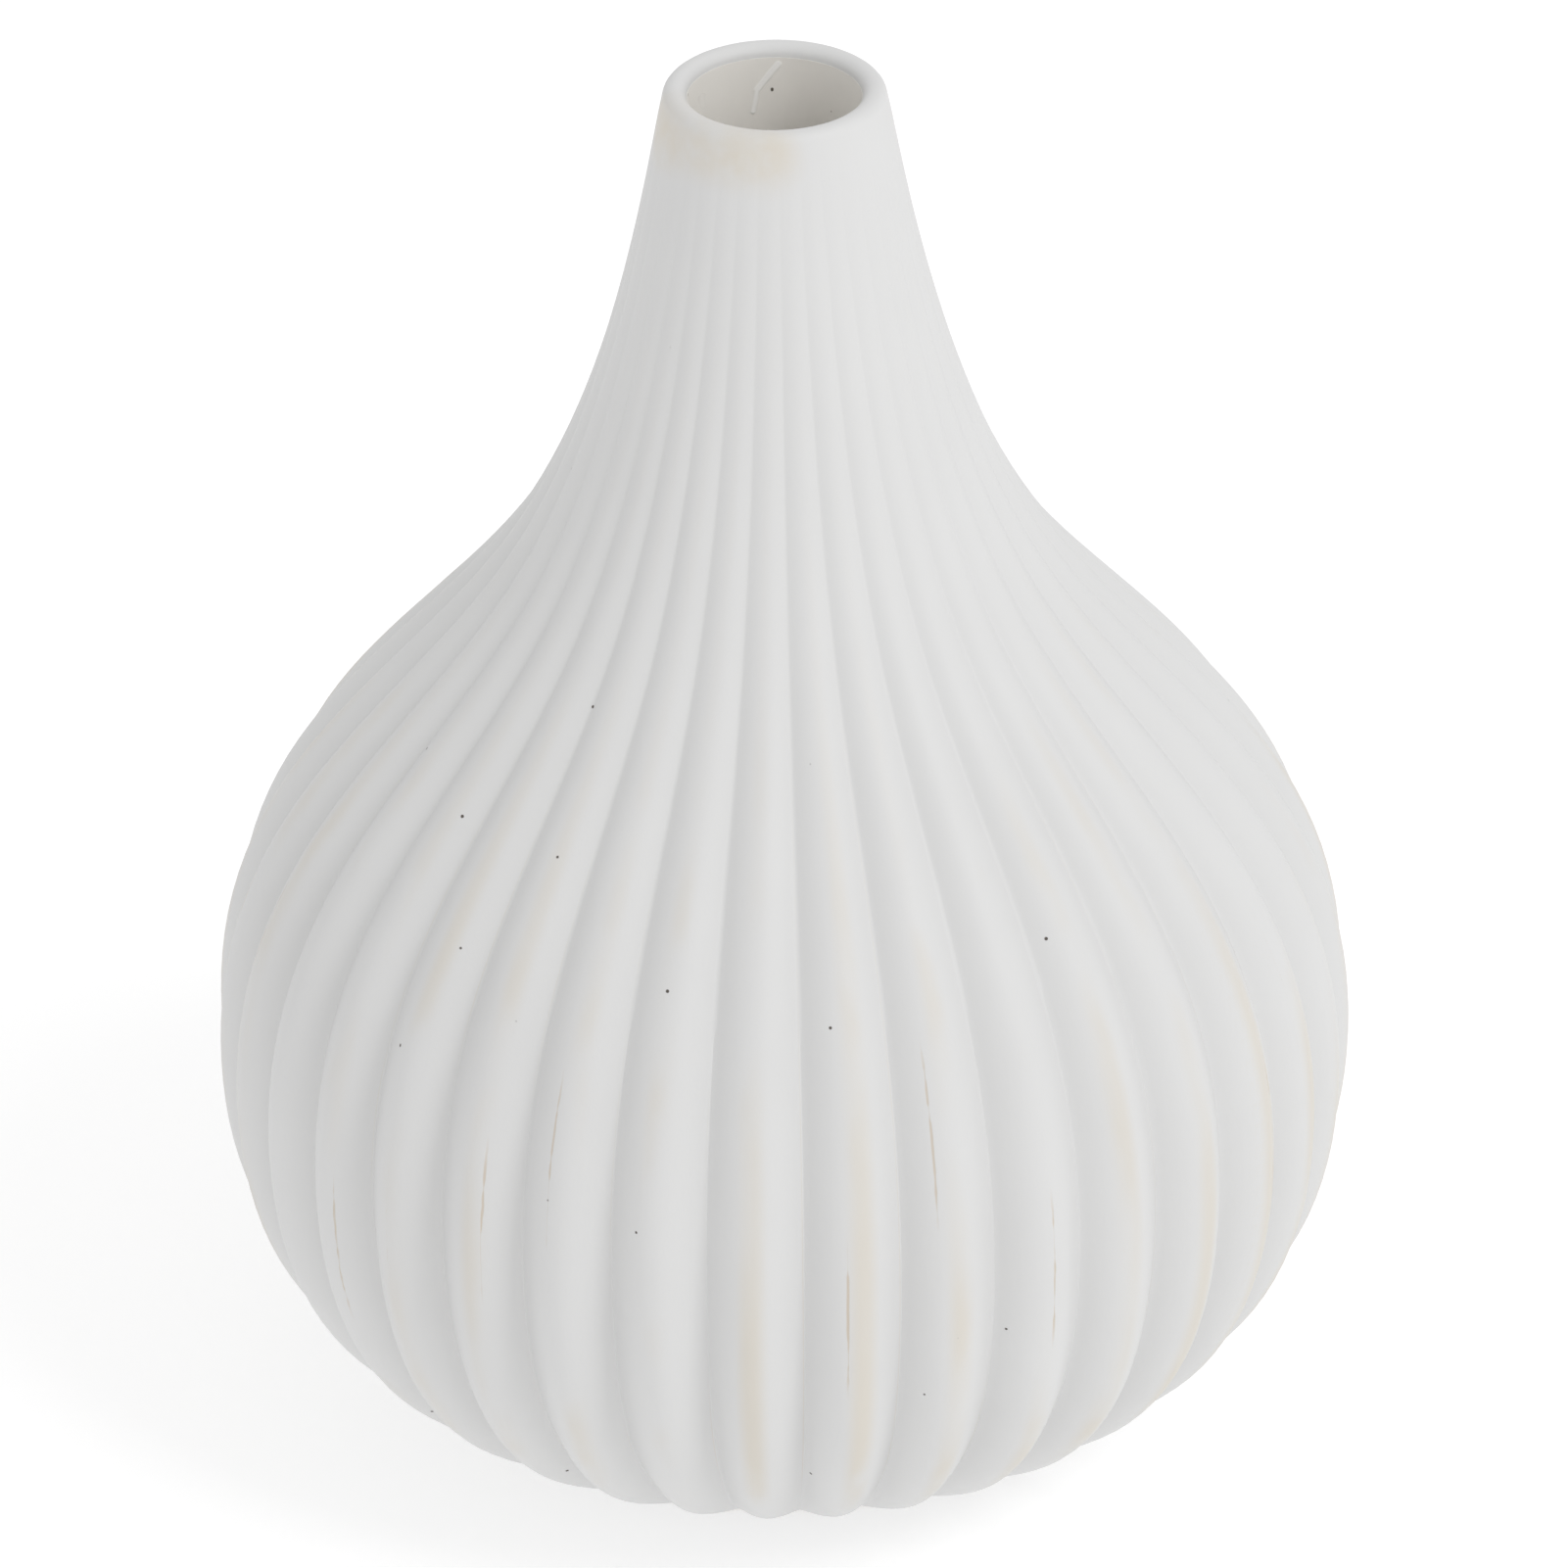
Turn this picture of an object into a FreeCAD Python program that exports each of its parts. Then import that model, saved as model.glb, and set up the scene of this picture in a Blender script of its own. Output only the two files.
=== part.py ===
import FreeCAD, Part
import math
import os

# Ribbed ceramic bud vase: a slip-cast body, a matt white coat outside and a clear glaze inside.
# Millimetres, +Z up. The origin is the centre of the foot, on the surface that the vase stands on.
# The outline is the body's rib crests in the XZ plane, drawn from the foot to the lip.

# Overall sizes
HEIGHT = 120.0
BELLY_RADIUS = 46.7
BELLY_HEIGHT = 33.9
FOOT_RADIUS = 23.3
MOUTH_RADIUS = 7.0

# Shoulder: the place where the outline turns from convex to concave
SHOULDER_RADIUS = 22.65
SHOULDER_HEIGHT = 77.4

# How far each end of an outline stretch pulls it along its own direction
FOOT_PULL = 6.5
BELLY_PULL_DOWN = 25.2
BELLY_PULL_UP = 22.3
SHOULDER_PULL_DOWN = 16.0
SHOULDER_PULL_UP = 17.0
NECK_PULL = 5.0

# Angles, in degrees: the foot's flare from level, then the lean from upright at the shoulder and the lip
FOOT_ANGLE = 34.0
SHOULDER_ANGLE = 35.3
NECK_ANGLE = 13.0

# Ribs. They fade out, slowly at first, up to the plain bit of neck just under the lip.
RIB_COUNT = 36
RIB_DEPTH = 2.5
RIB_FADE_START = 5.0
RIB_FADE_POWER = 1.5
PLAIN_NECK = 1.0
RIB_LEVEL_HEIGHT = 12.0
FIRST_VALLEY_ANGLE = -88.1

# Walls and layers. The layer thickness is shared by the coat and the glaze, which meet inside the lip.
# The wall grows from the lip downwards fast enough for the mouth to start straight.
LIP_WALL = 1.5
BODY_WALL = 4.8
WALL_GROWTH_HEIGHT = 28.0
FLOOR_HEIGHT = 5.0
FLOOR_CORNER_HEIGHT = 10.0
FLOOR_CORNER_WIDTH = 12.0
LAYER_THICKNESS = 0.25
BARE_FOOT_SHARE = 0.04

# Underside: a flat ring to stand on, round a shallow recess
FOOT_RING_WIDTH = 4.6
RECESS_DEPTH = 1.4
RECESS_SIDE_WIDTH = 1.8
RECESS_SIDE_LEAN = 10.0

# How finely the curved faces are laid out
ROWS_PER_STRETCH = 12
STRIPS_PER_RIB = 6
SEW_TOLERANCE = 0.002

# The side of the lip's rounding that faces the mouth, in degrees from the outside
MOUTH_SIDE = 180.0

LIP_RADIUS = LIP_WALL / 2.0
LIP_CENTRE_RADIUS = MOUTH_RADIUS + LAYER_THICKNESS + LIP_RADIUS
LIP_CENTRE_HEIGHT = HEIGHT - LAYER_THICKNESS - LIP_RADIUS
RIB_FADE_END = LIP_CENTRE_HEIGHT - PLAIN_NECK
AXIS = FreeCAD.Vector(0, 0, 1)
ORIGIN = FreeCAD.Vector(0, 0, 0)


def at(radius, height):
    """A point of the outline's plane."""
    return FreeCAD.Vector(radius, 0, height)


def along(angle_from_level):
    """The unit direction at an angle from level, in the outline's plane."""
    turn = math.radians(angle_from_level)
    return at(math.cos(turn), math.sin(turn))


def stretch(start, start_direction, start_pull, end, end_direction, end_pull):
    """One smooth stretch of the outline, leaving and arriving along given directions."""
    curve = Part.BezierCurve()
    curve.setPoles([start, start + start_direction * start_pull, end - end_direction * end_pull, end])
    return curve


def lip_point(angle_from_level, radius=LIP_RADIUS):
    """A point of the half-round lip."""
    return at(LIP_CENTRE_RADIUS, LIP_CENTRE_HEIGHT) + along(angle_from_level) * radius


def outline():
    """The body's outline over its rib crests, from the foot to the start of the lip."""
    foot = at(FOOT_RADIUS, 0)
    belly = at(BELLY_RADIUS, BELLY_HEIGHT)
    shoulder = at(SHOULDER_RADIUS, SHOULDER_HEIGHT)
    neck = lip_point(NECK_ANGLE)
    up = along(90)
    in_and_up = along(90 + SHOULDER_ANGLE)
    return [
        stretch(foot, along(FOOT_ANGLE), FOOT_PULL, belly, up, BELLY_PULL_DOWN),
        stretch(belly, up, BELLY_PULL_UP, shoulder, in_and_up, SHOULDER_PULL_DOWN),
        stretch(shoulder, in_and_up, SHOULDER_PULL_UP, neck, along(90 + NECK_ANGLE), NECK_PULL),
    ]


def point_and_normal(curve, share):
    """A point of a stretch and the direction straight out of the wall there."""
    point = curve.value(share)
    direction = curve.tangent(share)[0]
    return point, at(direction.z, -direction.x)


def stations(first_share=0.0):
    """Points and outward directions up the whole outline, from a share of its first stretch."""
    rows = []
    for number, curve in enumerate(outline()):
        start = first_share if number == 0 else 0.0
        for row in range(0 if number == 0 else 1, ROWS_PER_STRETCH + 1):
            share = start + (1.0 - start) * row / ROWS_PER_STRETCH
            rows.append(point_and_normal(curve, share))
    return rows


def held(share):
    """A share held between 0 and 1."""
    return min(max(share, 0.0), 1.0)


def smooth(share):
    """A share held between 0 and 1, with a level start and end."""
    share = held(share)
    return share ** 3 * (10 - 15 * share + 6 * share ** 2)


def rib_shape(across):
    """Depth of a rib's side, 0 on the crest and 1 in the valley, for across from -1 to 1."""
    return 1 - math.cos(math.pi * across / 2)


def rib_depth(point):
    """Depth of the valleys at a height: it follows the girth and fades out up the neck."""
    fade = 1 - held((point.z - RIB_FADE_START) / (RIB_FADE_END - RIB_FADE_START)) ** RIB_FADE_POWER
    return RIB_DEPTH * fade * point.x / BELLY_RADIUS


def cut_direction(point, normal):
    """The way a valley is cut: straight into the wall, but level at the foot, which stays flat."""
    return at(normal.x, normal.z * smooth(point.z / RIB_LEVEL_HEIGHT))


def turned(point, angle):
    """A point of the outline's plane, turned about the vase's axis."""
    turn = math.radians(angle)
    return FreeCAD.Vector(point.x * math.cos(turn), point.x * math.sin(turn), point.z)


def lengths(points):
    """How far each point lies along the line through all of them."""
    total = [0.0]
    for first, second in zip(points, points[1:]):
        total.append(total[-1] + first.distanceToPoint(second))
    return total


def smooth_curve(points, places):
    """The smooth curve through points, which reaches each one at its own place."""
    curve = Part.BSplineCurve()
    curve.interpolate(Points=points, Parameters=places)
    return curve


def smooth_face(net, rows, columns):
    """The smooth face through a net of points, the same from either side."""
    across = [smooth_curve(line, columns) for line in net]
    upward = [smooth_curve(list(line), rows) for line in zip(*[curve.getPoles() for curve in across])]
    surface = Part.BSplineSurface()
    surface.buildFromPolesMultsKnots(
        [list(line) for line in zip(*[curve.getPoles() for curve in upward])],
        upward[0].getMultiplicities(),
        across[0].getMultiplicities(),
        upward[0].getKnots(),
        across[0].getKnots(),
        False,
        False,
        upward[0].Degree,
        across[0].Degree,
    )
    return surface.toShape()


def rib_faces(rows, lift):
    """One rib from valley to valley, as strips that each run the whole height of the wall.

    The strips are lifted off the body by the thickness of a layer.
    """
    pitch = 360.0 / RIB_COUNT
    heights = lengths([point for point, _ in rows])
    faces = []
    for strip in range(STRIPS_PER_RIB):
        places = [(2.0 * strip + step) / STRIPS_PER_RIB - 1 for step in range(3)]
        net = []
        for point, normal in rows:
            line = []
            for across in places:
                cut = cut_direction(point, normal) * rib_depth(point) * rib_shape(across)
                line.append(turned(point - cut + normal * lift, pitch * across / 2))
            net.append(line)
        faces.append(smooth_face(net, heights, places))
    return faces


def ring_of(faces):
    """Copies of one rib's faces, one set for each rib. The first valley is at the turned faces' seam."""
    pitch = 360.0 / RIB_COUNT
    copies = []
    for number in range(RIB_COUNT):
        for face in faces:
            copy = face.copy()
            copy.rotate(ORIGIN, AXIS, pitch * (number + 0.5))
            copies.append(copy)
    return copies


def turned_face(edge):
    """The face that an edge of the outline's plane sweeps round the axis."""
    return edge.revolve(ORIGIN, AXIS, 360)


def line(start, end):
    """A straight edge."""
    return Part.makeLine(start, end)


def lip_edge(lift):
    """The lip's rounding over to where the inside drops straight, lifted off the body by a layer."""
    radius = LIP_RADIUS + lift
    ends = [NECK_ANGLE, (NECK_ANGLE + MOUTH_SIDE) / 2, MOUTH_SIDE]
    return Part.Arc(*[lip_point(angle, radius) for angle in ends]).toShape()


def wall_thickness(height):
    """The wall under a rib's crest at a height: it is thinnest at the lip."""
    growth = 1 - (1 - held((LIP_CENTRE_HEIGHT - height) / WALL_GROWTH_HEIGHT)) ** 2
    return LIP_WALL + (BODY_WALL - LIP_WALL) * growth


def inside_edges(lift):
    """The inside of the vase from the lip to the axis, lifted off the body by a layer."""
    corner_height = FLOOR_HEIGHT + FLOOR_CORNER_HEIGHT
    points = [lip_point(MOUTH_SIDE, LIP_RADIUS + lift)]
    for point, normal in reversed(stations()[:-1]):
        inside = point - normal * (wall_thickness(point.z) + lift)
        if inside.z > corner_height:
            points.append(inside)
    wall_curve = Part.BSplineCurve()
    wall_curve.interpolate(points)
    low = wall_curve.EndPoint
    down = wall_curve.tangent(wall_curve.LastParameter)[0]
    floor_edge = at(low.x - FLOOR_CORNER_WIDTH, FLOOR_HEIGHT + lift)
    pull = FLOOR_CORNER_HEIGHT / 2
    corner = stretch(low, down, pull, floor_edge, at(-1, 0), pull)
    middle = at(0, FLOOR_HEIGHT + lift)
    return [wall_curve.toShape(), corner.toShape(), line(floor_edge, middle)]


def solid_of(faces):
    """One closed solid from faces that meet along their edges."""
    shell = Part.makeCompound(faces)
    shell.sewShape(SEW_TOLERANCE)
    solid = Part.makeSolid(shell.Shells[0])
    solid.fix(SEW_TOLERANCE, SEW_TOLERANCE, SEW_TOLERANCE)
    if solid.Volume < 0:
        solid.reverse()
    return solid


def bottom_edge(face):
    """The lowest edge of a rib's strip."""
    return min(face.Edges, key=lambda edge: edge.CenterOfMass.z)


def foot_faces(ribs):
    """The flat ring that the vase stands on, and the shallow recess inside it."""
    inner_radius = FOOT_RADIUS - FOOT_RING_WIDTH
    outer = Part.Wire(Part.__sortEdges__([bottom_edge(rib) for rib in ribs]))
    inner = Part.Wire(Part.makeCircle(inner_radius, ORIGIN, AXIS))
    ring = Part.Face([outer, inner])
    top = at(inner_radius - RECESS_SIDE_WIDTH, RECESS_DEPTH)
    side = stretch(at(inner_radius, 0), along(90 + RECESS_SIDE_LEAN), RECESS_DEPTH / 2, top, at(-1, 0), RECESS_SIDE_WIDTH / 2)
    roof = line(top, at(0, RECESS_DEPTH))
    return [ring, turned_face(side.toShape()), turned_face(roof)]


def vase_body():
    """The slip-cast clay: ribbed wall, neck, lip, foot ring and the hollow inside."""
    ribs = ring_of(rib_faces(stations(), 0.0))
    inside = [turned_face(edge) for edge in inside_edges(0.0)]
    return solid_of(ribs + [turned_face(lip_edge(0.0))] + inside + foot_faces(ribs))


def matt_white_coat():
    """The white coat over the ribs, neck and lip; it stops above the foot and inside the lip."""
    rows = stations(BARE_FOOT_SHARE)
    under = rib_faces(rows, 0.0)
    over = rib_faces(rows, LAYER_THICKNESS)
    hem = [Part.makeRuledSurface(bottom_edge(low), bottom_edge(high)) for low, high in zip(under, over)]
    inside_lip = [lip_point(MOUTH_SIDE, LIP_RADIUS + lift) for lift in (0.0, LAYER_THICKNESS)]
    faces = ring_of(under) + ring_of(over) + ring_of(hem)
    faces += [turned_face(lip_edge(0.0)), turned_face(lip_edge(LAYER_THICKNESS)), turned_face(line(*inside_lip))]
    return solid_of(faces)


def inner_glaze():
    """The glaze that lines the neck and the hollow and holds the water."""
    under = inside_edges(0.0)
    over = inside_edges(LAYER_THICKNESS)
    top = line(under[0].Vertexes[0].Point, over[0].Vertexes[0].Point)
    return solid_of([turned_face(edge) for edge in under + over + [top]])


def main():
    """Build each piece and write it to its own file."""
    os.makedirs("parts", exist_ok=True)
    for piece in (vase_body, matt_white_coat, inner_glaze):
        shape = piece()
        shape.rotate(ORIGIN, AXIS, FIRST_VALLEY_ANGLE)
        name = piece.__name__
        box = shape.BoundBox
        print(name, shape.ShapeType, shape.isValid(), round(shape.Volume), "mm3")
        print("   z %.2f to %.2f, width %.2f" % (box.ZMin, box.ZMax, box.XLength))
        shape.exportStep("parts/" + name + ".step")


main()
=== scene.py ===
import math

import bpy
from mathutils import Matrix, Vector


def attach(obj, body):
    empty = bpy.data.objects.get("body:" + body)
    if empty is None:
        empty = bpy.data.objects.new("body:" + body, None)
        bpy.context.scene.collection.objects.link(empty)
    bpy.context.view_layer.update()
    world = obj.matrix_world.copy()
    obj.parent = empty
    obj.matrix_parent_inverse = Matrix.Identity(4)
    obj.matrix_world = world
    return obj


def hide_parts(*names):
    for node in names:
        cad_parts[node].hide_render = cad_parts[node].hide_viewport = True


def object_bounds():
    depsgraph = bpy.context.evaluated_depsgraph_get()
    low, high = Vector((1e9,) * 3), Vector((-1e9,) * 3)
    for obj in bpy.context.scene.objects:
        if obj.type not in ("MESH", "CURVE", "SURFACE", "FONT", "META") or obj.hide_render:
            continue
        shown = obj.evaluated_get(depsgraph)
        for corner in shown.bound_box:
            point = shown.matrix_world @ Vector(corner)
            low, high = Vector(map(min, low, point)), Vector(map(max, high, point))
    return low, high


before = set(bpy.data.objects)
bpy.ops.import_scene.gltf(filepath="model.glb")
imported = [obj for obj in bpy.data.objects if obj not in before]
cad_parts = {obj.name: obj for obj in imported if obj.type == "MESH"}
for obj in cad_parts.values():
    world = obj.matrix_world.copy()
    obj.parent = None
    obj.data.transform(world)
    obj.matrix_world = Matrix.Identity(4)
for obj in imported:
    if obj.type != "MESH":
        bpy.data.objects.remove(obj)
CAD_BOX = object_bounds()

# A ribbed ceramic bud vase: bare clay body, matt white coat over the ribs, clear glaze inside.
# Metres, +Z up, the origin at the centre of the foot. Sizes are given in millimetres times MM.
MM = 0.001

# ---------------------------------------------------------------- sizes

HEIGHT = CAD_BOX[1].z
LAYER = 0.25 * MM
BELLY_RADIUS = 46.7 * MM
BELLY_HEIGHT = 33.9 * MM
FOOT_RADIUS = 23.3 * MM
SHOULDER_RADIUS = 22.65 * MM
SHOULDER_HEIGHT = 77.4 * MM
MOUTH_RADIUS = 7.0 * MM
LIP_RADIUS = 0.75 * MM

# The foot's flare from level, then the lean from upright at the shoulder and at the lip
FOOT_ANGLE = 34.0
SHOULDER_ANGLE = 35.3
NECK_ANGLE = 13.0
# The side of the lip's rounding that faces the mouth, in degrees from the outside
MOUTH_SIDE = 180.0

FOOT_PULL = 6.5 * MM
BELLY_PULL_DOWN = 25.2 * MM
BELLY_PULL_UP = 22.3 * MM
SHOULDER_PULL_DOWN = 16.0 * MM
SHOULDER_PULL_UP = 17.0 * MM
NECK_PULL = 5.0 * MM
BARE_FOOT_SHARE = 0.04

RIB_COUNT = 36
RIB_DEPTH = 2.5 * MM
RIB_FADE_START = 5.0 * MM
RIB_FADE_POWER = 1.5
RIB_LEVEL_HEIGHT = 12.0 * MM
FIRST_VALLEY_ANGLE = -88.1
VALLEY_SOFTNESS = 0.08

OUTLINE_STEPS = 64
WELD_DISTANCE = 0.001 * MM
# Where two faces meet at more than this many radians, the skin has a real corner
HEM_CORNER = 0.7
# The hand's waviness: how much closer its waves lie up the vase than round it, then the noise's values
WAVES_UP = 20.0
WAVES_ROUND = 5.0
WAVE_DETAIL = 2.3
WAVE_ROUGHNESS = 1.0

LIP_CENTRE = Vector((MOUTH_RADIUS + LAYER + LIP_RADIUS, 0, HEIGHT - LAYER - LIP_RADIUS))
PLAIN_NECK = 1.0 * MM
RIB_FADE_END = LIP_CENTRE.z - PLAIN_NECK

# ---------------------------------------------------------------- colours

COAT_WHITE = (0.680, 0.680, 0.677, 1)
COAT_WHITE_DEEP = (0.650, 0.649, 0.646, 1)
# Warm colour where the coat is thin on the crests; also the colour of the painted shade under the lip
COAT_THIN_AND_LIP_SHADE = (0.640, 0.590, 0.505, 1)
CLAY_LINE = (0.520, 0.400, 0.270, 1)
PINHOLE = (0.090, 0.075, 0.060, 1)
GLAZE_LIGHT = (0.890, 0.872, 0.835, 1)
GLAZE_DEEP = (0.820, 0.795, 0.750, 1)
GLAZE_PALE_STREAK = (0.980, 0.980, 0.975, 1)
CLAY_BUFF = (0.560, 0.450, 0.340, 1)
CLAY_BUFF_DEEP = (0.470, 0.365, 0.265, 1)
CLAY_PALE = (0.720, 0.650, 0.550, 1)
CLAY_DARK = (0.130, 0.095, 0.070, 1)
CLAY_SCUFF = (0.330, 0.290, 0.250, 1)

# The underside's turning marks, in radians per metre from the axis, and how far they wander
TURNING_RINGS = 5200.0
TURNING_WANDER = 3.0
FOOT_RING_INSIDE = 19.0 * MM
# Keeps the pale grog from lying on the dark
PALE_GROG_SHIFT = (1.3 * MM, 2.1 * MM, 0.7 * MM)

# ---------------------------------------------------------------- outline


def placed(name, data):
    """An object for some data, put in the scene."""
    piece = bpy.data.objects.new(name, data)
    bpy.context.collection.objects.link(piece)
    return piece


def at(radius, height):
    """A point of the outline's plane."""
    return Vector((radius, 0, height))


def along(angle_from_level):
    """The unit direction at an angle from level, in the outline's plane."""
    turn = math.radians(angle_from_level)
    return at(math.cos(turn), math.sin(turn))


def stretch(start, start_direction, start_pull, end, end_direction, end_pull):
    """The four control points of one smooth stretch of the outline."""
    return [start, start + start_direction * start_pull, end - end_direction * end_pull, end]


def without_start(points, share):
    """The rest of a stretch after its first share is cut away."""
    first = [a.lerp(b, share) for a, b in zip(points, points[1:])]
    second = [a.lerp(b, share) for a, b in zip(first, first[1:])]
    third = second[0].lerp(second[1], share)
    return [third, second[1], first[2], points[3]]


def length_of(stretches):
    """How long a chain of stretches is."""
    total = 0.0
    for points in stretches:
        line = [without_start(points, step / OUTLINE_STEPS)[0] for step in range(OUTLINE_STEPS + 1)]
        total += sum((b - a).length for a, b in zip(line, line[1:]))
    return total


def arc(centre, radius, start_angle, end_angle):
    """The four control points of a round stretch of up to a quarter turn."""
    pull = radius * 4 / 3 * math.tan(math.radians(end_angle - start_angle) / 4)
    start, end = centre + along(start_angle) * radius, centre + along(end_angle) * radius
    return stretch(start, along(start_angle + 90), pull, end, along(end_angle + 90), pull)


def wall_stretches():
    """The clay's outline over its rib crests, from the foot to the lip."""
    belly = at(BELLY_RADIUS, BELLY_HEIGHT)
    shoulder = at(SHOULDER_RADIUS, SHOULDER_HEIGHT)
    in_and_up = along(90 + SHOULDER_ANGLE)
    neck = LIP_CENTRE + along(NECK_ANGLE) * LIP_RADIUS
    return [
        stretch(at(FOOT_RADIUS, 0), along(FOOT_ANGLE), FOOT_PULL, belly, along(90), BELLY_PULL_DOWN),
        stretch(belly, along(90), BELLY_PULL_UP, shoulder, in_and_up, SHOULDER_PULL_DOWN),
        stretch(shoulder, in_and_up, SHOULDER_PULL_UP, neck, along(90 + NECK_ANGLE), NECK_PULL),
    ]


def lip_stretches():
    """The clay's rounded lip, from the outside over to where the mouth drops straight."""
    middle = (NECK_ANGLE + MOUTH_SIDE) / 2
    return [
        arc(LIP_CENTRE, LIP_RADIUS, NECK_ANGLE, middle),
        arc(LIP_CENTRE, LIP_RADIUS, middle, MOUTH_SIDE),
    ]


def outline_curve(name, stretches):
    """A curve object through a chain of stretches. The ribbed wall's tree reads its shape."""
    curve = bpy.data.curves.new(name, "CURVE")
    curve.dimensions = "3D"
    spline = curve.splines.new("BEZIER")
    spline.bezier_points.add(len(stretches))
    spline.resolution_u = OUTLINE_STEPS
    for number, bezier_point in enumerate(spline.bezier_points):
        before = stretches[number - 1] if number else None
        after = stretches[number] if number < len(stretches) else None
        bezier_point.handle_left_type = bezier_point.handle_right_type = "FREE"
        bezier_point.co = after[0] if after else before[3]
        bezier_point.handle_left = before[2] if before else bezier_point.co
        bezier_point.handle_right = after[1] if after else bezier_point.co
    return placed(name, curve)


# ---------------------------------------------------------------- geometry nodes


class Nodes:
    """A node tree being built: each call adds one node and gives back its first output."""

    def __init__(self, tree):
        self.tree = tree

    def add(self, kind, *inputs, **settings):
        """Adds a node, with its settings, and fills its inputs in order. None leaves one as it is."""
        node = self.tree.nodes.new(kind)
        for name, value in settings.items():
            setattr(node, name, value)
        enabled = [socket for socket in node.inputs if socket.enabled]
        for socket, value in zip(enabled, inputs):
            self.feed(socket, value)
        return node

    def feed(self, socket, value):
        """Links an output to a socket, or sets its value."""
        if value is None:
            return
        if isinstance(value, bpy.types.NodeSocket):
            self.tree.links.new(value, socket)
        else:
            socket.default_value = value

    def fill(self, node, **values):
        """Fills a node's enabled inputs by name. A space in a name is written as an underscore."""
        for name, value in values.items():
            wanted = name.replace("_", " ")
            named = [socket for socket in node.inputs if socket.name == wanted and socket.enabled]
            self.feed(named[0], value)
        return node

    def math(self, operation, *inputs):
        """One sum on numbers."""
        return self.add("ShaderNodeMath", *inputs, operation=operation).outputs[0]

    def vector(self, operation, *inputs):
        """One sum on vectors. Its answer is a number for a dot product or a distance."""
        node = self.add("ShaderNodeVectorMath", *inputs, operation=operation)
        return node.outputs["Value" if operation in ("DOT_PRODUCT", "DISTANCE") else "Vector"]

    def pick(self, choice, yes, no):
        """The first number where the choice is 1, and the second where it is 0."""
        return self.math("MULTIPLY_ADD", choice, self.math("SUBTRACT", yes, no), no)

    def parts(self, vector):
        """The X, Y and Z of a vector."""
        return self.add("ShaderNodeSeparateXYZ", vector).outputs


def new_tree(name, kind, inputs, outputs):
    """A node group with named inputs and outputs. Gives its builder, and its input and output nodes."""
    tree = bpy.data.node_groups.new(name, kind)
    for socket_name, socket_kind, value in inputs:
        socket = tree.interface.new_socket(socket_name, in_out="INPUT", socket_type=socket_kind)
        if value is not None:
            socket.default_value = value
    for socket_name, socket_kind in outputs:
        tree.interface.new_socket(socket_name, in_out="OUTPUT", socket_type=socket_kind)
    nodes = Nodes(tree)
    return nodes, nodes.add("NodeGroupInput").outputs, nodes.add("NodeGroupOutput").inputs


def shell_inputs():
    """The named inputs of the ribbed shell's tree."""
    number, whole = "NodeSocketFloat", "NodeSocketInt"
    return [
        ("Outline", "NodeSocketObject", None),
        ("Rib Count", whole, 36),
        ("Columns Per Rib", whole, 16),
        ("Wall Rows", whole, 72),
        ("Lip Rows", whole, 12),
        ("Inner Rows", whole, 44),
        ("Inner Row Spread", number, 1.6),
        ("Lip Share", number, 0.97),
        ("Rib Depth", number, 0.0025),
        ("Valley Softness", number, 0.08),
        ("Valley Draw", number, 0.55),
        ("Belly Radius", number, 0.0467),
        ("Fade Start", number, 0.005),
        ("Fade End", number, 0.118),
        ("Fade Power", number, 1.5),
        ("Level Height", number, 0.012),
        ("First Valley", number, 0.0),
        ("Thickness", number, 0.00025),
        ("Unevenness", number, 0.00003),
        ("Material", "NodeSocketMaterial", None),
    ]


def row_places(nodes, given, flat_height, rows, outer_rows):
    """Each row's share of the outline's length, and 1 where the row is on the outer face.

    Rows climb the wall, go over the lip and come back down the inner face. The last row is the
    first one again, so that the hem is closed.
    """
    row = nodes.math("ROUND", nodes.math("MULTIPLY", nodes.math("ADD", flat_height, 0.5), rows))
    row = nodes.math("MODULO", row, rows)
    is_outer = nodes.math("LESS_THAN", row, nodes.math("SUBTRACT", outer_rows, 0.5))

    wall_share = nodes.math("MULTIPLY", nodes.math("DIVIDE", row, given["Wall Rows"]), given["Lip Share"])
    past_wall = nodes.math("MAXIMUM", nodes.math("SUBTRACT", row, given["Wall Rows"]), 0.0)
    lip_step = nodes.math("DIVIDE", past_wall, nodes.math("SUBTRACT", given["Lip Rows"], 1.0))
    lip_length = nodes.math("SUBTRACT", 1.0, given["Lip Share"])
    lip_share = nodes.math("MULTIPLY_ADD", lip_step, lip_length, given["Lip Share"])
    outer_share = nodes.math("MINIMUM", wall_share, lip_share)

    past_lip = nodes.math("SUBTRACT", row, outer_rows)
    inner_step = nodes.math("DIVIDE", past_lip, nodes.math("SUBTRACT", given["Inner Rows"], 1.0))
    inner_share = nodes.math("SUBTRACT", 1.0, nodes.math("POWER", inner_step, given["Inner Row Spread"]))
    return nodes.pick(is_outer, outer_share, inner_share), is_outer


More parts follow.
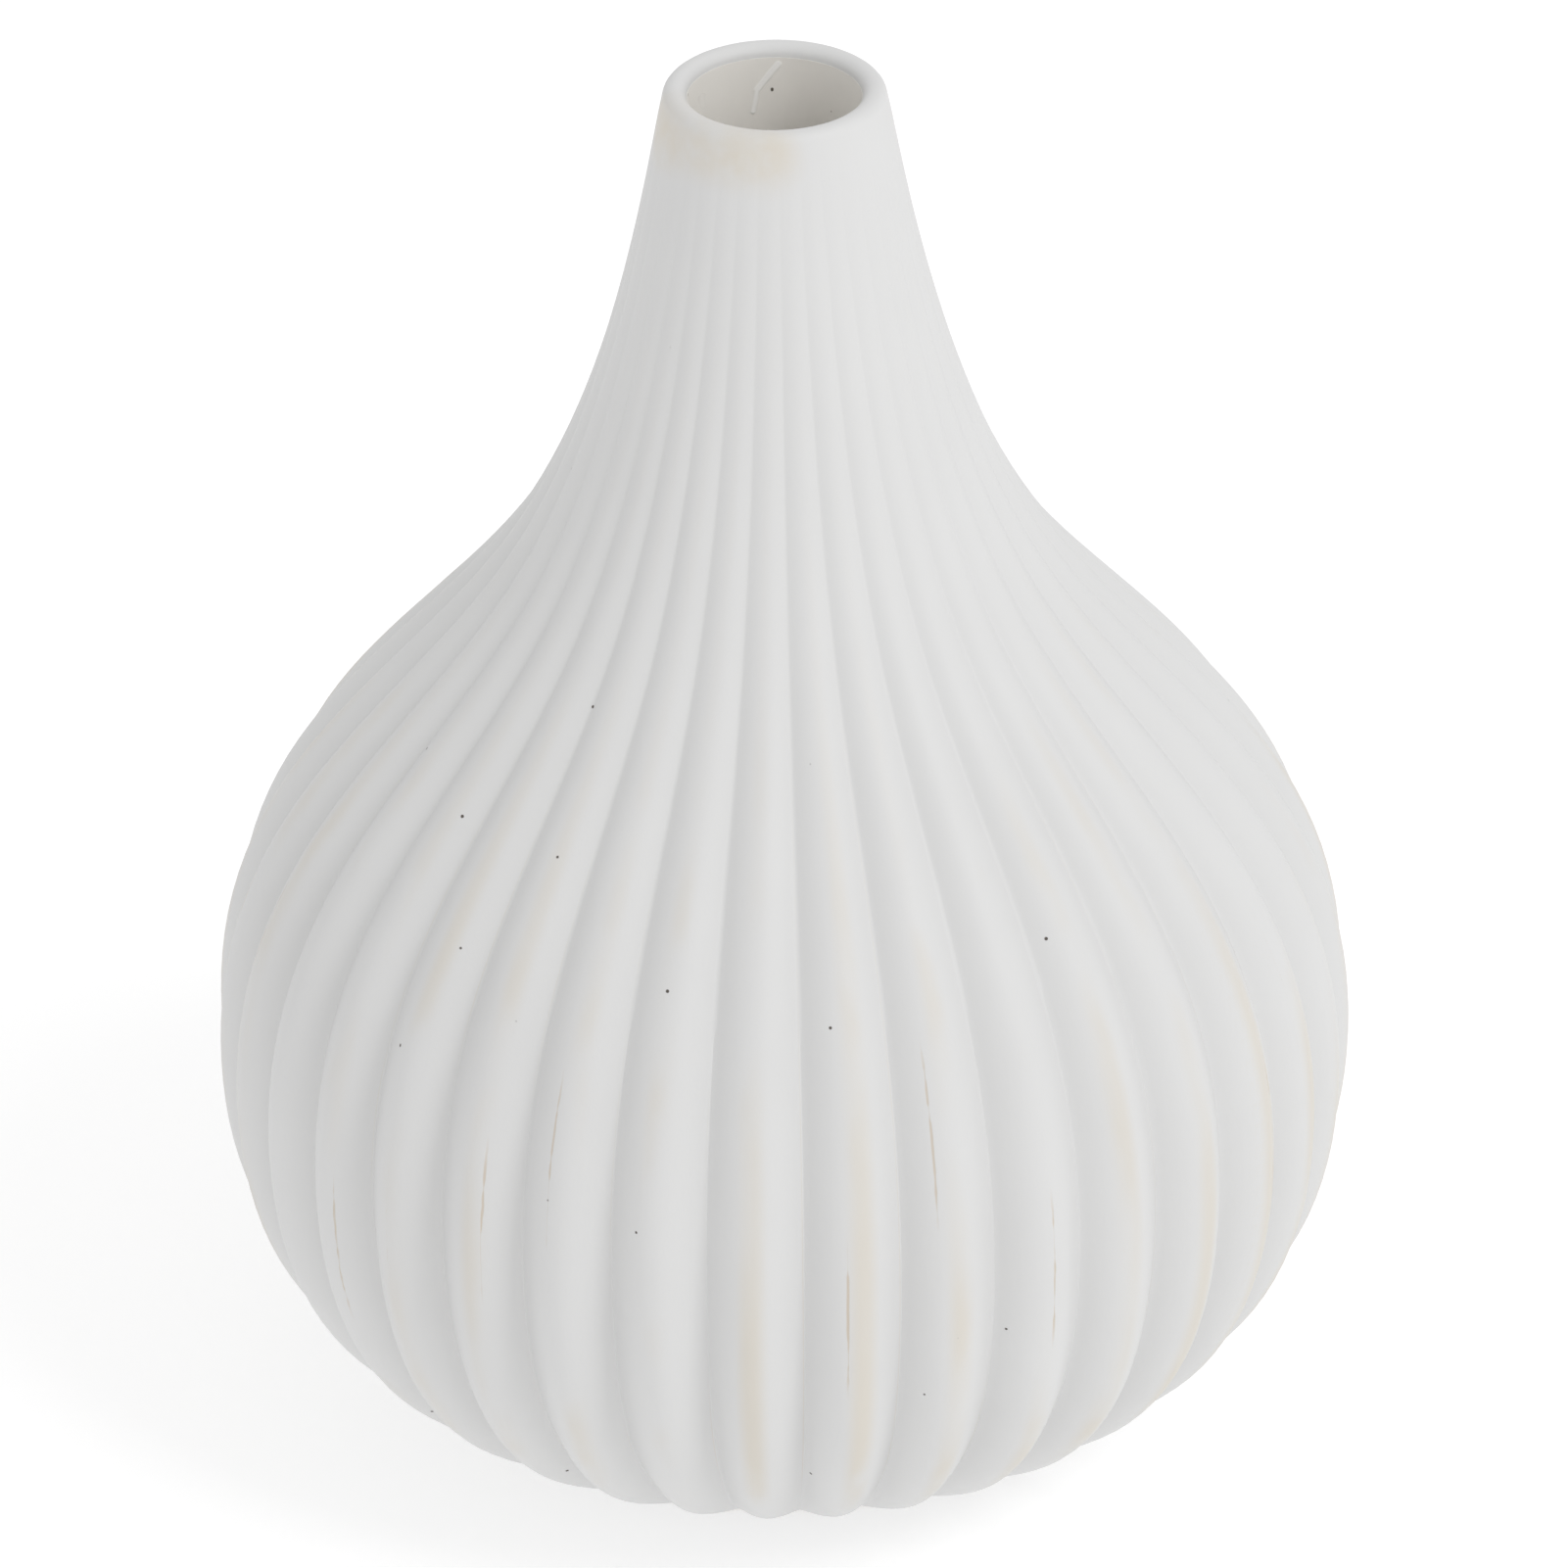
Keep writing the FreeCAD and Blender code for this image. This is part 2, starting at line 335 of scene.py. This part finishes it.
def column_places(nodes, given, flat_across, columns):
    """Each column's place across its rib from -1 to 1, its rib's number, and its turn round the axis.

    Every rib has the same number of columns, drawn towards its valleys.
    """
    column = nodes.math("MULTIPLY", nodes.math("ADD", flat_across, 0.5), columns)
    rib_place = nodes.math("DIVIDE", column, given["Columns Per Rib"])
    rib_number = nodes.math("FLOOR", nodes.math("ADD", rib_place, 1e-4))
    even = nodes.math("MULTIPLY_ADD", nodes.math("SUBTRACT", rib_place, rib_number), 2.0, -1.0)
    drawn = nodes.math("SINE", nodes.math("MULTIPLY", even, math.pi / 2))
    across = nodes.math("MULTIPLY_ADD", nodes.math("SUBTRACT", drawn, even), given["Valley Draw"], even)
    rib_turn = nodes.math("DIVIDE", 2 * math.pi, given["Rib Count"])
    in_ribs = nodes.math("ADD", rib_number, nodes.math("MULTIPLY_ADD", across, 0.5, 0.5))
    return across, rib_number, nodes.math("MULTIPLY_ADD", in_ribs, rib_turn, given["First Valley"])


def outline_place(nodes, outline, share):
    """The outline's place at a share of its length, and its direction there."""
    sample = nodes.add("GeometryNodeSampleCurve", outline, data_type="FLOAT", mode="FACTOR")
    nodes.fill(sample, Factor=share)
    return nodes.parts(sample.outputs["Position"]), nodes.parts(sample.outputs["Tangent"])


def rib_cut(nodes, given, across, place, is_outer):
    """How far a rib's side is cut into the wall, and how much of the rib is left at this height.

    The crest is round. The clay's valley is sharp, and the coat softens it on the outer face.
    """
    softness = given["Valley Softness"]
    squared = nodes.math("MULTIPLY", softness, softness)
    wave = nodes.math("COSINE", nodes.math("MULTIPLY", across, math.pi / 2))
    softened = nodes.math("SQRT", nodes.math("MULTIPLY_ADD", wave, wave, squared))
    lobe = nodes.math("SUBTRACT", softened, softness)
    full_lobe = nodes.math("SUBTRACT", nodes.math("SQRT", nodes.math("ADD", squared, 1.0)), softness)
    crest = nodes.pick(is_outer, nodes.math("DIVIDE", lobe, full_lobe), wave)
    faded = nodes.add("ShaderNodeMapRange", place["Z"], given["Fade Start"], given["Fade End"], 0.0, 1.0)
    ribs_here = nodes.math("SUBTRACT", 1.0, nodes.math("POWER", faded.outputs[0], given["Fade Power"]))
    girth = nodes.math("DIVIDE", place["X"], given["Belly Radius"])
    depth = nodes.math("MULTIPLY", nodes.math("MULTIPLY", given["Rib Depth"], ribs_here), girth)
    return nodes.math("MULTIPLY", depth, nodes.math("SUBTRACT", 1.0, crest)), ribs_here


def skin_lift(nodes, given, turn, place, is_outer):
    """How far the skin stands off the clay: its thickness, less the slight waviness of hand work."""
    round_x, round_y = nodes.math("COSINE", turn), nodes.math("SINE", turn)
    spot = nodes.add("ShaderNodeCombineXYZ", round_x, round_y, nodes.math("MULTIPLY", place["Z"], WAVES_UP))
    waves = noise(nodes, spot.outputs[0], WAVES_ROUND, WAVE_DETAIL, WAVE_ROUGHNESS)
    lift = nodes.math("SUBTRACT", given["Thickness"], nodes.math("MULTIPLY", waves, given["Unevenness"]))
    return nodes.math("MULTIPLY", lift, is_outer)


def ribbed_shell_tree():
    """A closed, ribbed skin turned round the axis from an outline, with marks for its material."""
    nodes, given, result = new_tree(
        "ribbed_shell", "GeometryNodeTree", shell_inputs(), [("Geometry", "NodeSocketGeometry")]
    )
    outline = nodes.add("GeometryNodeObjectInfo", given["Outline"]).outputs["Geometry"]
    columns = nodes.math("MULTIPLY", given["Rib Count"], given["Columns Per Rib"])
    outer_rows = nodes.math("ADD", given["Wall Rows"], given["Lip Rows"])
    rows = nodes.math("ADD", outer_rows, given["Inner Rows"])
    grid = nodes.add("GeometryNodeMeshGrid", 1.0, 1.0)
    nodes.fill(grid, Vertices_X=nodes.math("ADD", columns, 1.0), Vertices_Y=nodes.math("ADD", rows, 1.0))
    flat = nodes.parts(nodes.add("GeometryNodeInputPosition").outputs[0])

    share, is_outer = row_places(nodes, given, flat["Y"], rows, outer_rows)
    across, rib_number, turn = column_places(nodes, given, flat["X"], columns)
    place, direction = outline_place(nodes, outline, share)
    cut, ribs_here = rib_cut(nodes, given, across, place, is_outer)
    lift = skin_lift(nodes, given, turn, place, is_outer)

    # Straight out of the wall is across the outline's direction; near the foot, ribs are cut level
    level_range = (0.0, given["Level Height"])
    level = nodes.add("ShaderNodeMapRange", place["Z"], *level_range, interpolation_type="SMOOTHERSTEP")
    level_cut = nodes.math("MULTIPLY", cut, level.outputs[0])
    radius = nodes.math("MULTIPLY_ADD", direction["Z"], nodes.math("SUBTRACT", lift, cut), place["X"])
    down = nodes.math("MULTIPLY", direction["X"], nodes.math("SUBTRACT", lift, level_cut))
    height = nodes.math("SUBTRACT", place["Z"], down)
    spot_x = nodes.math("MULTIPLY", radius, nodes.math("COSINE", turn))
    spot_y = nodes.math("MULTIPLY", radius, nodes.math("SINE", turn))
    spot = nodes.add("ShaderNodeCombineXYZ", spot_x, spot_y, height).outputs[0]

    shaped = grid.outputs["Mesh"]
    for name, value in (("across", across), ("rib_number", rib_number), ("ribs_here", ribs_here)):
        store = nodes.add("GeometryNodeStoreNamedAttribute", shaped, data_type="FLOAT", domain="POINT")
        shaped = nodes.fill(store, Name=name, Value=value).outputs[0]
    shaped = nodes.add("GeometryNodeSetPosition", shaped, None, spot).outputs[0]
    closed = nodes.add("GeometryNodeMergeByDistance", shaped, None, WELD_DISTANCE).outputs[0]
    shaded = nodes.add("GeometryNodeSetShadeSmooth", closed).outputs[0]
    edge_angle = nodes.add("GeometryNodeInputMeshEdgeAngle").outputs[0]
    corner = nodes.math("GREATER_THAN", edge_angle, HEM_CORNER)
    shaded = nodes.add("GeometryNodeSetShadeSmooth", shaded, corner, False, domain="EDGE").outputs[0]
    real = nodes.add("GeometryNodeRealizeInstances", shaded).outputs[0]
    painted = nodes.fill(nodes.add("GeometryNodeSetMaterial", real), Material=given["Material"])
    nodes.feed(result["Geometry"], painted.outputs[0])
    return nodes.tree


def set_inputs(modifier, tree, values):
    """Sets a modifier's inputs by their sockets' identifiers."""
    sockets = {item.name: item.identifier for item in tree.interface.items_tree if item.item_type == "SOCKET"}
    for name, value in values.items():
        modifier[sockets[name]] = value


def made_real(piece, name):
    """A plain mesh object from a piece's modifiers; the piece itself is removed."""
    evaluated = piece.evaluated_get(bpy.context.evaluated_depsgraph_get())
    mesh = bpy.data.meshes.new_from_object(evaluated)
    mesh.name = name
    bpy.data.objects.remove(piece)
    return placed(name, mesh)


# ---------------------------------------------------------------- pieces


def matt_coat(material):
    """The white coat: the ribbed skin that shows, closed over the clay."""
    wall = wall_stretches()
    wall[0] = without_start(wall[0], BARE_FOOT_SHARE)
    lip = lip_stretches()
    outline = outline_curve("coat_outline", wall + lip)
    tree = ribbed_shell_tree()
    holder = placed("coat_holder", bpy.data.meshes.new("coat_holder"))
    modifier = holder.modifiers.new("ribbed_shell", "NODES")
    modifier.node_group = tree
    sizes = {
        "Outline": outline,
        "Rib Count": RIB_COUNT,
        "Lip Share": length_of(wall) / length_of(wall + lip),
        "Rib Depth": RIB_DEPTH,
        "Valley Softness": VALLEY_SOFTNESS,
        "Belly Radius": BELLY_RADIUS,
        "Fade Start": RIB_FADE_START,
        "Fade End": RIB_FADE_END,
        "Fade Power": RIB_FADE_POWER,
        "Level Height": RIB_LEVEL_HEIGHT,
        "First Valley": math.radians(FIRST_VALLEY_ANGLE),
        "Thickness": LAYER,
        "Material": material,
    }
    set_inputs(modifier, tree, sizes)
    coat = made_real(holder, "matt_coat")
    bpy.data.objects.remove(outline)
    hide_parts("matt_white_coat")
    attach(coat, "root")
    return coat


# ---------------------------------------------------------------- materials


def new_material(name):
    """A material with one Principled shader. Gives the material, its builder and the shader."""
    material = bpy.data.materials.new(name)
    material.use_nodes = True
    material.node_tree.nodes.clear()
    nodes = Nodes(material.node_tree)
    shader = nodes.add("ShaderNodeBsdfPrincipled")
    output = nodes.add("ShaderNodeOutputMaterial")
    nodes.feed(output.inputs["Surface"], shader.outputs[0])
    return material, nodes, shader


def noise(nodes, place, scale, detail=2.0, roughness=0.5):
    """Cloudy noise from 0 to 1; scale is in waves per metre."""
    node = nodes.add("ShaderNodeTexNoise")
    return nodes.fill(node, Vector=place, Scale=scale, Detail=detail, Roughness=roughness).outputs[0]


def ramp(nodes, value, low, high, first=0.0, last=1.0):
    """A smooth step from first to last as value goes from low to high."""
    step = nodes.add("ShaderNodeMapRange", value, low, high, first, last, interpolation_type="SMOOTHSTEP")
    return step.outputs[0]


def both(nodes, *masks):
    """The place where every mask is on."""
    product = masks[0]
    for mask in masks[1:]:
        product = nodes.math("MULTIPLY", product, mask)
    return product


def far_from(nodes, value, middle):
    """How far a number is from a middle one."""
    return nodes.math("ABSOLUTE", nodes.math("SUBTRACT", value, middle))


def tinted(nodes, under, mask, strength, over):
    """A colour with another laid over it where a mask is on."""
    node = nodes.add("ShaderNodeMix", data_type="RGBA")
    share = mask if strength == 1.0 else nodes.math("MULTIPLY", mask, strength)
    return nodes.fill(node, Factor=share, A=under, B=over).outputs[2]


def use_group(nodes, tree, **values):
    """Places a node group in a material with its own values, which are named by their sockets."""
    node = nodes.add("ShaderNodeGroup", node_tree=tree)
    return nodes.fill(node, **values).outputs


def grain_group():
    """The fine tooth of a fired surface, with soft unevenness under it."""
    number = "NodeSocketFloat"
    inputs = [
        ("Position", "NodeSocketVector", None),
        ("Grain Scale", number, 2600.0),
        ("Wave Scale", number, 160.0),
        ("Wave Share", number, 0.6),
    ]
    outputs = [("Height", number), ("Mottle", number)]
    nodes, given, result = new_tree("fired_grain", "ShaderNodeTree", inputs, outputs)
    grain = noise(nodes, given["Position"], given["Grain Scale"], 3.0, 0.6)
    wave = noise(nodes, given["Position"], given["Wave Scale"])
    mottle_scale = nodes.math("MULTIPLY", given["Wave Scale"], 0.35)
    nodes.feed(result["Height"], nodes.math("MULTIPLY_ADD", wave, given["Wave Share"], grain))
    nodes.feed(result["Mottle"], noise(nodes, given["Position"], mottle_scale, 3.0, 0.6))
    return nodes.tree


def speck_group():
    """Scattered round specks: pinholes in a coat, or grog in clay. Mask is 1 in a speck."""
    number = "NodeSocketFloat"
    inputs = [("Position", "NodeSocketVector", None), ("Spacing", number, 0.006), ("Radius", number, 0.00016)]
    nodes, given, result = new_tree("specks", "ShaderNodeTree", inputs, [("Mask", number)])
    cells = nodes.add("ShaderNodeTexVoronoi", feature="F1", voronoi_dimensions="3D")
    nodes.fill(cells, Vector=given["Position"], Scale=nodes.math("DIVIDE", 1.0, given["Spacing"]))
    away = nodes.math("MULTIPLY", cells.outputs["Distance"], given["Spacing"])
    core = nodes.math("MULTIPLY", given["Radius"], 0.55)
    nodes.feed(result["Mask"], ramp(nodes, away, core, given["Radius"], 1.0, 0.0))
    return nodes.tree


def near_line_group():
    """How near the surface is to a straight mark between two points. Mask is 1 on the mark."""
    number, vector = "NodeSocketFloat", "NodeSocketVector"
    inputs = [
        ("Position", vector, None),
        ("Start", vector, None),
        ("End", vector, None),
        ("Core", number, 0.001),
        ("Reach", number, 0.002),
    ]
    nodes, given, result = new_tree("near_line", "ShaderNodeTree", inputs, [("Mask", number)])
    line = nodes.vector("SUBTRACT", given["End"], given["Start"])
    from_start = nodes.vector("SUBTRACT", given["Position"], given["Start"])
    along_line = nodes.vector("DOT_PRODUCT", from_start, line)
    share = nodes.math("DIVIDE", along_line, nodes.vector("DOT_PRODUCT", line, line))
    share = nodes.math("MINIMUM", nodes.math("MAXIMUM", share, 0.0), 1.0)
    scaled = nodes.fill(nodes.add("ShaderNodeVectorMath", line, operation="SCALE"), Scale=share)
    nearest = nodes.vector("ADD", given["Start"], scaled.outputs[0])
    away = nodes.vector("DISTANCE", given["Position"], nearest)
    nodes.feed(result["Mask"], ramp(nodes, away, given["Core"], given["Reach"], 1.0, 0.0))
    return nodes.tree


def crest_blush(nodes, given, height, stretched, pick):
    """Broad warm places along the crests of the low belly, where the coat ran thin."""
    patches = ramp(nodes, noise(nodes, stretched, 75.0, 3.0, 0.55), 0.42, 0.64)
    crest_at = nodes.math("MULTIPLY_ADD", pick, 0.3, -0.15)
    on_crest = ramp(nodes, far_from(nodes, given["Across"], crest_at), 0.04, 0.40, 1.0, 0.0)
    above_foot = ramp(nodes, height, 6 * MM, 16 * MM)
    below_shoulder = ramp(nodes, height, 52 * MM, 80 * MM, 1.0, 0.15)
    return both(nodes, patches, on_crest, above_foot, below_shoulder, given["Ribs Here"])


def bare_hairline(nodes, given, height, stretched, picks):
    """A broken hairline of clay along some ribs, each at its own height and place on the rib."""
    wander = nodes.math("MULTIPLY_ADD", noise(nodes, given["Position"], 130.0), 0.10, -0.05)
    line_at = nodes.math("ADD", nodes.math("MULTIPLY_ADD", picks[1], 0.7, -0.35), wander)
    width = nodes.math("MULTIPLY", ramp(nodes, noise(nodes, stretched, 900.0, 2.0, 0.6), 0.40, 0.62), 0.026)
    past_edge = nodes.math("SUBTRACT", far_from(nodes, given["Across"], line_at), width)
    line = ramp(nodes, past_edge, -0.012, 0.012, 1.0, 0.0)
    middle = nodes.math("MULTIPLY_ADD", picks[2], 26 * MM, 24 * MM)
    window = ramp(nodes, far_from(nodes, height, middle), 4 * MM, 8 * MM, 1.0, 0.0)
    chosen_rib = nodes.math("GREATER_THAN", picks[0], 0.74)
    return both(nodes, line, window, chosen_rib, given["Ribs Here"])


def crest_wear_group():
    """Where the coat is thin on the ribs: a broad warm blush on crests, and fine bare hairlines."""
    number = "NodeSocketFloat"
    inputs = [
        ("Position", "NodeSocketVector", None),
        ("Across", number, 0.0),
        ("Rib", number, 0.0),
        ("Ribs Here", number, 1.0),
    ]
    outputs = [("Blush", number), ("Hairline", number)]
    nodes, given, result = new_tree("crest_wear", "ShaderNodeTree", inputs, outputs)
    height = nodes.parts(given["Position"])["Z"]
    rib_random = nodes.add("ShaderNodeTexWhiteNoise", noise_dimensions="1D")
    nodes.fill(rib_random, W=nodes.math("ADD", given["Rib"], 0.5))
    picks = nodes.add("ShaderNodeSeparateColor", rib_random.outputs["Color"]).outputs
    stretched = nodes.fill(nodes.add("ShaderNodeMapping"), Vector=given["Position"], Scale=(1.0, 1.0, 0.28))
    stretched = stretched.outputs[0]
    nodes.feed(result["Blush"], crest_blush(nodes, given, height, stretched, picks[0]))
    nodes.feed(result["Hairline"], bare_hairline(nodes, given, height, stretched, picks))
    return nodes.tree


def surface_place(nodes):
    """The place on the piece itself."""
    return nodes.add("ShaderNodeTexCoord").outputs["Object"]


def attribute(nodes, name):
    """A number that the ribbed shell's tree left on the mesh."""
    return nodes.add("ShaderNodeAttribute", attribute_name=name, attribute_type="GEOMETRY").outputs["Fac"]


def mark(nodes, groups, place, start, end, core, reach):
    """A soft straight mark on the surface, given in millimetres."""
    ends = {"Start": Vector(start) * MM, "End": Vector(end) * MM}
    sizes = {"Core": core * MM, "Reach": reach * MM}
    return use_group(nodes, groups["near_line"], Position=place, **ends, **sizes)["Mask"]


def bump(nodes, height, distance, strength=1.0, under=None):
    """A bump from a height, on top of an earlier one."""
    node = nodes.add("ShaderNodeBump")
    return nodes.fill(node, Strength=strength, Distance=distance, Height=height, Normal=under).outputs[0]


def finish_node(name, material):
    """Gives a CAD node its finish."""
    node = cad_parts[name]
    node.data.materials.clear()
    node.data.materials.append(material)


def coat_material(groups):
    """Matt white coat: fine tooth, warm where it is thin, with pinholes and bare hairlines, and a painted
    shade as a warm darker patch under the lip at the left front.
    """
    material, nodes, shader = new_material("matt_white_coat")
    place = surface_place(nodes)
    grain = use_group(
        nodes, groups["grain"], Position=place, Grain_Scale=2600.0, Wave_Scale=150.0, Wave_Share=0.5
    )
    rib = {"Across": attribute(nodes, "across"), "Rib": attribute(nodes, "rib_number")}
    wear = use_group(nodes, groups["wear"], Position=place, Ribs_Here=attribute(nodes, "ribs_here"), **rib)
    pinholes = use_group(nodes, groups["specks"], Position=place, Spacing=6.2 * MM, Radius=0.17 * MM)
    # Painted shade: a soft warm darker patch below the lip at the left front, where the lip's rounding turns
    # inward, broken up by cloudy noise
    painted_shade_under_lip = mark(nodes, groups, place, (-8.8, -2.2, 117.2), (-1.0, -9.0, 118.0), 1.0, 4.0)
    cloudy = ramp(nodes, noise(nodes, place, 260.0, 3.0, 0.6), 0.30, 0.70, 0.35, 1.0)
    painted_lip_shade = both(nodes, painted_shade_under_lip, cloudy)

    colour = tinted(nodes, COAT_WHITE, grain["Mottle"], 1.0, COAT_WHITE_DEEP)
    colour = tinted(nodes, colour, wear["Blush"], 0.75, COAT_THIN_AND_LIP_SHADE)
    # Lays the painted shade under the lip, in the thin coat's warm colour
    colour = tinted(nodes, colour, painted_lip_shade, 0.8, COAT_THIN_AND_LIP_SHADE)
    colour = tinted(nodes, colour, wear["Hairline"], 0.65, CLAY_LINE)
    colour = tinted(nodes, colour, pinholes["Mask"], 1.0, PINHOLE)
    rough = nodes.math("MULTIPLY_ADD", grain["Mottle"], 0.12, 0.52)
    rough = nodes.math("MULTIPLY_ADD", painted_lip_shade, -0.08, rough)
    sunk = nodes.math("MULTIPLY_ADD", wear["Hairline"], 0.15, pinholes["Mask"])
    tooth = bump(nodes, grain["Height"], 0.012 * MM, 0.6)
    dented = bump(nodes, nodes.math("MULTIPLY", sunk, -1.0), 0.12 * MM, 0.8, tooth)
    nodes.fill(shader, Base_Color=colour, Roughness=rough, Normal=dented)
    return material


def glaze_material(groups):
    """Clear satin glaze over the warm clay of the inside, with a slightly raised near-white streak and a pit
    in the back wall.
    """
    material, nodes, shader = new_material("inner_glaze")
    place = surface_place(nodes)
    grain = use_group(
        nodes, groups["grain"], Position=place, Grain_Scale=900.0, Wave_Scale=220.0, Wave_Share=1.6
    )
    specks = use_group(nodes, groups["specks"], Position=place, Spacing=3.4 * MM, Radius=0.16 * MM)
    # A near-white curved streak down the back wall of the mouth, slightly raised by a bump
    upper_streak = mark(nodes, groups, place, (0.3, 6.97, 118.4), (-1.4, 6.84, 116.2), 0.16, 0.36)
    lower_streak = mark(nodes, groups, place, (-1.4, 6.84, 116.2), (-1.75, 6.75, 114.3), 0.08, 0.28)
    pit = mark(nodes, groups, place, (-0.2, 6.97, 116.1), (-0.2, 6.97, 116.2), 0.07, 0.16)
    pale_streak = nodes.math("MAXIMUM", upper_streak, lower_streak)

    colour = tinted(nodes, GLAZE_LIGHT, grain["Mottle"], 1.0, GLAZE_DEEP)
    colour = tinted(nodes, colour, pale_streak, 0.6, GLAZE_PALE_STREAK)
    colour = tinted(nodes, colour, nodes.math("MAXIMUM", specks["Mask"], pit), 1.0, PINHOLE)
    rough = nodes.math("MULTIPLY_ADD", grain["Mottle"], 0.15, 0.22)
    soft = bump(nodes, grain["Height"], 0.03 * MM, 0.5)
    raised = bump(nodes, pale_streak, 0.08 * MM, 0.6, soft)
    nodes.fill(shader, Base_Color=colour, Roughness=rough, Normal=raised)
    nodes.fill(shader, Coat_Weight=0.25, Coat_Roughness=0.15)
    return material


def clay_material(groups):
    """Bare fired clay: warm buff with dark and pale grog, scuffed and smoother on the foot ring."""
    material, nodes, shader = new_material("fired_clay")
    place = surface_place(nodes)
    grain = use_group(
        nodes, groups["grain"], Position=place, Grain_Scale=1900.0, Wave_Scale=190.0, Wave_Share=0.8
    )
    dark = use_group(nodes, groups["specks"], Position=place, Spacing=1.7 * MM, Radius=0.22 * MM)["Mask"]
    shifted = nodes.fill(nodes.add("ShaderNodeMapping"), Vector=place, Location=PALE_GROG_SHIFT).outputs[0]
    pale = use_group(nodes, groups["specks"], Position=shifted, Spacing=1.3 * MM, Radius=0.2 * MM)["Mask"]
    x, y, height = nodes.parts(place)
    squares = nodes.math("ADD", nodes.math("POWER", x, 2.0), nodes.math("POWER", y, 2.0))
    from_axis = nodes.math("SQRT", squares)
    rings = nodes.math("MULTIPLY", from_axis, TURNING_RINGS)
    turning = nodes.math("MULTIPLY_ADD", noise(nodes, place, 60.0), TURNING_WANDER, rings)
    near_rim = ramp(nodes, from_axis, FOOT_RING_INSIDE - 0.4 * MM, FOOT_RING_INSIDE + 0.4 * MM)
    at_bottom = ramp(nodes, height, 0.05 * MM, 0.3 * MM, 1.0, 0.0)
    foot_ring = both(nodes, near_rim, at_bottom)
    scuffs = ramp(nodes, noise(nodes, place, 420.0, 4.0, 0.65), 0.45, 0.68)

    colour = tinted(nodes, CLAY_BUFF, grain["Mottle"], 1.0, CLAY_BUFF_DEEP)
    colour = tinted(nodes, colour, pale, 0.5, CLAY_PALE)
    colour = tinted(nodes, colour, dark, 0.55, CLAY_DARK)
    colour = tinted(nodes, colour, both(nodes, foot_ring, scuffs), 0.5, CLAY_SCUFF)
    rough = nodes.math("MULTIPLY_ADD", foot_ring, -0.18, 0.82)
    tooth = bump(nodes, grain["Height"], 0.05 * MM, 0.7)
    turned = bump(nodes, nodes.math("SINE", turning), 0.02 * MM, 0.35, tooth)
    nodes.fill(shader, Base_Color=colour, Roughness=rough, Normal=turned)
    return material


# ---------------------------------------------------------------- stage

CAMERA_TARGET = Vector((0.217, 0, 55.83)) * MM
CAMERA_DISTANCE = 956 * MM
CAMERA_ELEVATION = 30.13
CAMERA_ROLL = -0.55
CAMERA_LENS = 266.9
SENSOR_WIDTH = 36
NEAREST_SEEN = 10 * MM
FLOOR_HALF_WIDTH = 3.0
FLOOR_GREY = (0.6, 0.6, 0.6, 1)
FLOOR_GLOW = 0.50
WHITE = (1, 1, 1, 1)
SKY_STRENGTH = 0.79
KEY_PLACE = Vector((0.9, -0.65, 1.25))
KEY_TARGET = Vector((0, 0, 0.05))
KEY_SIZE = 0.6
KEY_POWER = 7.5


def facing(place, target):
    """How a lamp or a camera is placed to look from one point at another."""
    turn = (target - place).to_track_quat("-Z", "Y")
    return Matrix.Translation(place) @ turn.to_matrix().to_4x4()


def camera():
    """A long lens from above, tipped a little."""
    data = bpy.data.cameras.new("camera")
    data.lens = CAMERA_LENS
    data.sensor_width = SENSOR_WIDTH
    data.clip_start = NEAREST_SEEN
    tilt = math.radians(CAMERA_ELEVATION)
    back = Vector((0, -math.cos(tilt), math.sin(tilt)))
    roll = Matrix.Rotation(math.radians(CAMERA_ROLL), 4, "Z")
    piece = placed("camera", data)
    piece.matrix_world = facing(CAMERA_TARGET + back * CAMERA_DISTANCE, CAMERA_TARGET) @ roll
    bpy.context.scene.camera = piece


def floor():
    """A plain pale floor, lit from within like a light table, that can be seen through from below."""
    material, nodes, shader = new_material("floor")
    nodes.fill(shader, Base_Color=FLOOR_GREY, Roughness=0.8)
    nodes.fill(shader, Emission_Color=WHITE, Emission_Strength=FLOOR_GLOW)
    clear = nodes.add("ShaderNodeBsdfTransparent")
    seen_from_below = nodes.add("ShaderNodeNewGeometry").outputs["Backfacing"]
    mixed = nodes.add("ShaderNodeMixShader", seen_from_below, shader.outputs[0], clear.outputs[0])
    nodes.feed(nodes.tree.get_output_node("ALL").inputs["Surface"], mixed.outputs[0])
    mesh = bpy.data.meshes.new("floor")
    signs = [(-1, -1), (1, -1), (1, 1), (-1, 1)]
    corners = [(x * FLOOR_HALF_WIDTH, y * FLOOR_HALF_WIDTH, 0) for x, y in signs]
    mesh.from_pydata(corners, [], [range(len(corners))])
    mesh.materials.append(material)
    piece = placed("floor", mesh)


def studio():
    """Pale surroundings and one large soft light, up and to the right."""
    world = bpy.data.worlds.new("studio")
    world.use_nodes = True
    sky = world.node_tree.nodes["Background"]
    sky.inputs["Color"].default_value = WHITE
    sky.inputs["Strength"].default_value = SKY_STRENGTH
    bpy.context.scene.world = world
    bpy.context.scene.view_settings.view_transform = "Standard"
    lamp = bpy.data.lights.new("key", "AREA")
    lamp.size = KEY_SIZE
    lamp.energy = KEY_POWER
    placed("key", lamp).matrix_world = facing(KEY_PLACE, KEY_TARGET)


groups = {
    "grain": grain_group(),
    "specks": speck_group(),
    "near_line": near_line_group(),
    "wear": crest_wear_group(),
}
matt_coat(coat_material(groups))
finish_node("vase_body", clay_material(groups))
finish_node("inner_glaze", glaze_material(groups))
floor()
studio()
camera()
